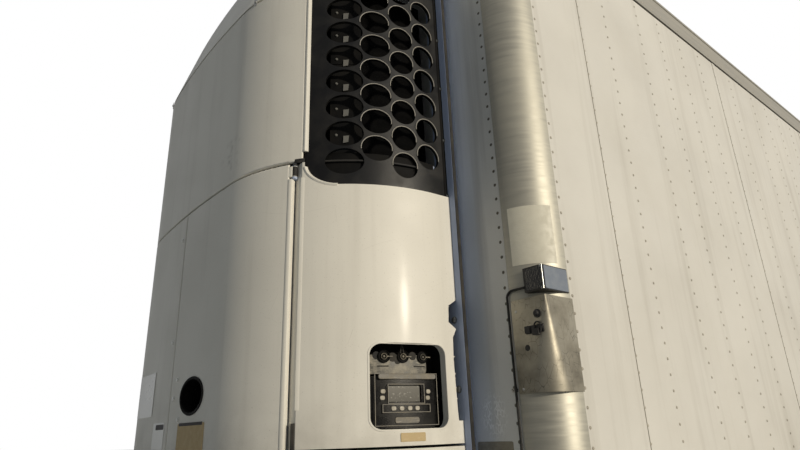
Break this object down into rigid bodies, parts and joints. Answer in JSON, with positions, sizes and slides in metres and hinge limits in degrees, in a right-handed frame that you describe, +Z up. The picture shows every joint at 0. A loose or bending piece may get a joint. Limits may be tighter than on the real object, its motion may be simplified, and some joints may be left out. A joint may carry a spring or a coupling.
{
  "type": "refrigerated semi-trailer",
  "caption": "Long insulated box trailer with a refrigeration unit on its nose, tandem twin wheels, landing legs and swinging rear doors.",
  "frame": {"origin": "on the ground, under the middle of the whole trailer", "axes": "+X from the nose with the refrigeration unit to the rear doors, +Y to the kerb side, +Z up"},
  "size_m": [16.96, 2.627, 4.115],
  "materials": {
    "side_skin": "satin, weathered",
    "unit_shell": "glossy moulded shell",
    "door_skin": "satin",
    "bare_aluminium": "mill finish, weathered",
    "roof_sheet": "mill finish",
    "stainless": "brushed",
    "floor_metal": "extruded",
    "frame_black": "satin black",
    "galvanised": "zinc coated",
    "black_plastic": "textured",
    "coil_metal": "dark fins",
    "cast_iron": "rough",
    "kingpin_steel": "greased",
    "wheel_paint": "white paint",
    "tyre_rubber": "matte",
    "flap_rubber": "matte",
    "red_lens": "moulded lens",
    "amber_lens": "moulded lens"
  },
  "bodies": {
    "trailer": {"side_wall_left": "side_skin", "side_wall_right": "side_skin", "front_wall": "side_skin", "corner_posts": "bare_aluminium", "bottom_rails": "bare_aluminium", "top_rails": "bare_aluminium", "roof_panel": "roof_sheet", "floor_deck": "floor_metal", "cold_air_outlet": "bare_aluminium", "crossmembers": "floor_metal", "coupler_plate": "kingpin_steel", "landing_legs": "frame_black", "landing_braces": "frame_black", "slide_rails": "frame_black", "bogie_frame": "frame_black", "leaf_springs": "cast_iron", "axles": "frame_black", "mudflaps": "flap_rubber", "rear_guard": "galvanised", "fuel_tank": "bare_aluminium", "air_tanks": "frame_black", "rear_frame": "stainless", "dock_bumpers": "flap_rubber", "lock_keepers": "stainless", "tail_lamps": "red_lens", "marker_lamps": "amber_lens", "unit_frame": "side_skin", "unit_hood": "unit_shell", "unit_upper_front": "unit_shell", "unit_skirts": "unit_shell", "condenser_coils": "coil_metal", "controller_recess": "black_plastic", "controller": "black_plastic", "gauge_plate": "galvanised", "engine_block": "cast_iron", "corner_box": "stainless", "status_lamp": "black_plastic", "lamp_cable": "black_plastic", "service_connectors": "kingpin_steel", "unit_side_panel_left": "unit_shell", "unit_grille_left": "black_plastic", "unit_side_panel_right": "unit_shell", "unit_grille_right": "black_plastic"},
    "front_left_wheels": {"wheel_front_left": "wheel_paint", "tyres_front_left": "tyre_rubber"},
    "rear_left_wheels": {"wheel_rear_left": "wheel_paint", "tyres_rear_left": "tyre_rubber"},
    "left_rear_door": {"rear_door_left": "door_skin", "door_hinges_left": "stainless", "lock_rods_left": "stainless"},
    "left_unit_door": {"unit_door_left": "unit_shell"},
    "front_right_wheels": {"wheel_front_right": "wheel_paint", "tyres_front_right": "tyre_rubber"},
    "rear_right_wheels": {"wheel_rear_right": "wheel_paint", "tyres_rear_right": "tyre_rubber"},
    "right_rear_door": {"rear_door_right": "door_skin", "door_hinges_right": "stainless", "lock_rods_right": "stainless"},
    "right_unit_door": {"unit_door_right": "unit_shell"}
  },
  "joints": [
    {"name": "front_left_wheels_spin", "type": "hinge", "parent": "trailer", "child": "front_left_wheels", "pos_m": [4.996, -0.979, 0.505], "axis": [0, 1, 0], "continuous": true},
    {"name": "rear_left_wheels_spin", "type": "hinge", "parent": "trailer", "child": "rear_left_wheels", "pos_m": [6.241, -0.979, 0.505], "axis": [0, 1, 0], "continuous": true},
    {"name": "left_rear_door_swing", "type": "hinge", "parent": "trailer", "child": "left_rear_door", "pos_m": [8.466, -1.2775, 2.685], "axis": [0, 0, -1], "range_deg": [0, 270]},
    {"name": "left_unit_door_swing", "type": "hinge", "parent": "trailer", "child": "left_unit_door", "pos_m": [-8.349, -0.70997, 2.2], "axis": [0, 0, 1], "range_deg": [0, 100]},
    {"name": "front_right_wheels_spin", "type": "hinge", "parent": "trailer", "child": "front_right_wheels", "pos_m": [4.996, 0.979, 0.505], "axis": [0, 1, 0], "continuous": true},
    {"name": "rear_right_wheels_spin", "type": "hinge", "parent": "trailer", "child": "rear_right_wheels", "pos_m": [6.241, 0.979, 0.505], "axis": [0, 1, 0], "continuous": true},
    {"name": "right_rear_door_swing", "type": "hinge", "parent": "trailer", "child": "right_rear_door", "pos_m": [8.466, 1.2775, 2.685], "axis": [0, 0, 1], "range_deg": [0, 270]},
    {"name": "right_unit_door_swing", "type": "hinge", "parent": "trailer", "child": "right_unit_door", "pos_m": [-8.349, 0.70997, 2.2], "axis": [0, 0, -1], "range_deg": [0, 100]}
  ]
}
